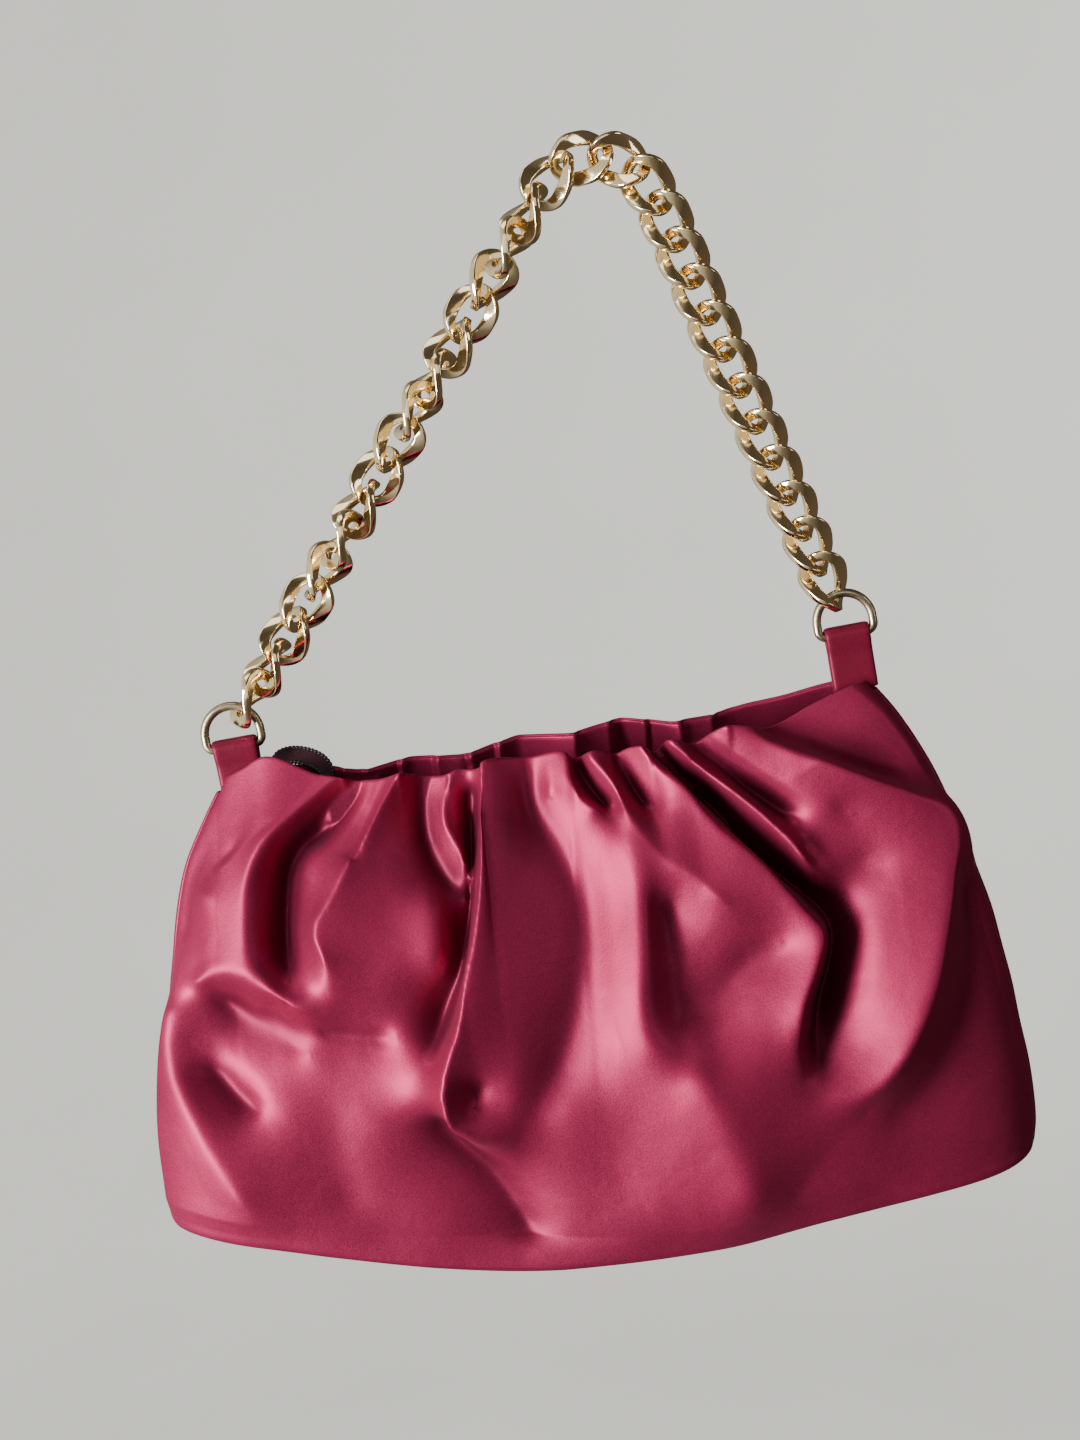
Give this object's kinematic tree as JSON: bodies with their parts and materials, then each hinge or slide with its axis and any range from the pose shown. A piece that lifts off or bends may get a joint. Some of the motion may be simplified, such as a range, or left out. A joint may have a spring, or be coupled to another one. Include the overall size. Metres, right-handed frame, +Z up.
{
  "type": "hobo shoulder bag",
  "caption": "Slouchy zip-top shoulder bag hanging by leather tabs and D-rings from a flexible curb-chain strap.",
  "frame": {"origin": "the lower side of the top chain link, where it rests on a wall hook", "axes": "+X along the mouth towards the short chain run, +Y from the bag's front to its back, +Z up"},
  "size_m": [0.2816, 0.082, 0.3436],
  "materials": {
    "champagne_gold": "polished pale gold plating",
    "aged_brass": "slightly tarnished, satin",
    "burgundy_leather": "soft satin burgundy",
    "dark_burgundy_leather": "satin, darker burgundy",
    "lining_cloth": "plain dark weave",
    "base_board_plastic": "matt stiff sheet",
    "zip_tape_cloth": "black-burgundy woven tape",
    "zip_teeth_nylon": "dark moulded coil",
    "zip_metal": "satin"
  },
  "bodies": {
    "chain_top": {"link_top": "champagne_gold"},
    "chain_01": {"link_left_01": "champagne_gold", "link_right_01": "champagne_gold"},
    "chain_02": {"link_left_02": "champagne_gold", "link_right_02": "champagne_gold"},
    "chain_03": {"link_left_03": "champagne_gold"},
    "chain_04": {"link_left_04": "champagne_gold", "link_right_03": "champagne_gold"},
    "chain_05": {"link_left_05": "champagne_gold", "link_right_04": "champagne_gold"},
    "chain_06": {"link_left_06": "champagne_gold", "link_right_05": "champagne_gold"},
    "chain_07": {"link_left_07": "champagne_gold"},
    "chain_08": {"link_left_08": "champagne_gold", "link_right_06": "champagne_gold"},
    "chain_09": {"link_left_09": "champagne_gold", "link_right_07": "champagne_gold"},
    "chain_10": {"link_left_10": "champagne_gold", "link_right_08": "champagne_gold"},
    "chain_11": {"link_left_11": "champagne_gold"},
    "chain_12": {"link_left_12": "champagne_gold", "link_right_09": "champagne_gold"},
    "chain_13": {"link_left_13": "champagne_gold", "link_right_10": "champagne_gold"},
    "chain_14": {"link_left_14": "champagne_gold", "link_right_11": "champagne_gold"},
    "chain_15": {"link_left_15": "champagne_gold"},
    "chain_16": {"link_left_16": "champagne_gold", "link_right_12": "champagne_gold"},
    "chain_17": {"link_left_17": "champagne_gold", "link_right_13": "champagne_gold"},
    "rings": {"d_ring_left": "aged_brass", "d_ring_right": "aged_brass"},
    "bag": {"front_panel": "burgundy_leather", "back_panel": "burgundy_leather", "left_gusset": "burgundy_leather", "right_gusset": "burgundy_leather", "base_panel": "burgundy_leather", "base_board": "base_board_plastic", "lining": "lining_cloth", "front_facing": "dark_burgundy_leather", "back_facing": "dark_burgundy_leather", "zip_tape_front": "zip_tape_cloth", "zip_tape_back": "zip_tape_cloth", "zip_coil_front": "zip_teeth_nylon", "zip_coil_back": "zip_teeth_nylon", "zip_bottom_stop": "zip_metal", "zip_top_stop_front": "zip_metal", "zip_top_stop_back": "zip_metal", "tab_left": "dark_burgundy_leather", "tab_right": "dark_burgundy_leather"},
    "slider": {"zip_slider": "zip_metal"},
    "puller": {"zip_puller": "zip_metal"}
  },
  "joints": [
    {"name": "chain_flex_01", "type": "hinge", "parent": "chain_top", "child": "chain_01", "pos_m": [0.00045, 0, 0.0058], "axis": [0.9862, 0, 0.1657], "range_deg": [-8, 8]},
    {"name": "chain_flex_02", "type": "hinge", "parent": "chain_01", "child": "chain_02", "pos_m": [0.00179, 0, -0.00145], "axis": [-0.9844, 0, -0.176], "range_deg": [-8, 8]},
    {"name": "chain_flex_03", "type": "hinge", "parent": "chain_02", "child": "chain_03", "pos_m": [0.00133, 0, -0.01213], "axis": [0.9934, 0, 0.1146], "range_deg": [-7, 7]},
    {"name": "chain_flex_04", "type": "hinge", "parent": "chain_03", "child": "chain_04", "pos_m": [-0.00199, 0, -0.01686], "axis": [-0.9612, 0, -0.276], "range_deg": [-7, 7]},
    {"name": "chain_flex_05", "type": "hinge", "parent": "chain_04", "child": "chain_05", "pos_m": [-0.00321, 0, -0.02735], "axis": [0.9799, 0, 0.1995], "range_deg": [-15, 15]},
    {"name": "chain_flex_06", "type": "hinge", "parent": "chain_05", "child": "chain_06", "pos_m": [-0.00443, 0, -0.03784], "axis": [-0.9896, 0, -0.1435], "range_deg": [-15, 15]},
    {"name": "chain_flex_07", "type": "hinge", "parent": "chain_06", "child": "chain_07", "pos_m": [-0.00565, 0, -0.04834], "axis": [0.9949, 0, 0.1012], "range_deg": [-12, 12]},
    {"name": "chain_flex_08", "type": "hinge", "parent": "chain_07", "child": "chain_08", "pos_m": [-0.00896, 0, -0.05307], "axis": [-0.9806, 0, -0.1958], "range_deg": [-12, 12]},
    {"name": "chain_flex_09", "type": "hinge", "parent": "chain_08", "child": "chain_09", "pos_m": [-0.01018, 0, -0.06356], "axis": [0.9877, 0, 0.1561], "range_deg": [-15, 15]},
    {"name": "chain_flex_10", "type": "hinge", "parent": "chain_09", "child": "chain_10", "pos_m": [-0.01141, 0, -0.07405], "axis": [-0.9923, 0, -0.1235], "range_deg": [-15, 15]},
    {"name": "chain_flex_11", "type": "hinge", "parent": "chain_10", "child": "chain_11", "pos_m": [-0.01263, 0, -0.08455], "axis": [0.9954, 0, 0.0963], "range_deg": [-11, 11]},
    {"name": "chain_flex_12", "type": "hinge", "parent": "chain_11", "child": "chain_12", "pos_m": [-0.01594, 0, -0.08928], "axis": [-0.9866, 0, -0.1631], "range_deg": [-11, 11]},
    {"name": "chain_flex_13", "type": "hinge", "parent": "chain_12", "child": "chain_13", "pos_m": [-0.01716, 0, -0.09977], "axis": [0.9906, 0, 0.1367], "range_deg": [-15, 15]},
    {"name": "chain_flex_14", "type": "hinge", "parent": "chain_13", "child": "chain_14", "pos_m": [-0.01838, 0, -0.11027], "axis": [-0.9935, 0, -0.1138], "range_deg": [-15, 15]},
    {"name": "chain_flex_15", "type": "hinge", "parent": "chain_14", "child": "chain_15", "pos_m": [-0.01961, 0, -0.12076], "axis": [0.9956, 0, 0.0938], "range_deg": [-10, 10]},
    {"name": "chain_flex_16", "type": "hinge", "parent": "chain_15", "child": "chain_16", "pos_m": [-0.02292, 0, -0.12549], "axis": [-0.9894, 0, -0.1454], "range_deg": [-10, 10]},
    {"name": "chain_flex_17", "type": "hinge", "parent": "chain_16", "child": "chain_17", "pos_m": [-0.02414, 0, -0.13598], "axis": [0.9921, 0, 0.1257], "range_deg": [-15, 15]},
    {"name": "ring_flex", "type": "hinge", "parent": "chain_17", "child": "rings", "pos_m": [-0.02536, 0, -0.14647], "axis": [-0.9941, 0, -0.1081], "range_deg": [-14, 14]},
    {"name": "bag_swing", "type": "hinge", "parent": "rings", "child": "bag", "pos_m": [-0.0258, 0, -0.15735], "axis": [0.995, 0, 0.0998], "range_deg": [-80, 80]},
    {"name": "zip_slide", "type": "slide", "parent": "bag", "child": "slider", "axis": [-1, 0, 0], "range_m": [0, 0.128]},
    {"name": "puller_flip", "type": "hinge", "parent": "slider", "child": "puller", "pos_m": [0.0445, 0, -0.1826], "axis": [0, -1, 0], "range_deg": [0, 175]}
  ]
}
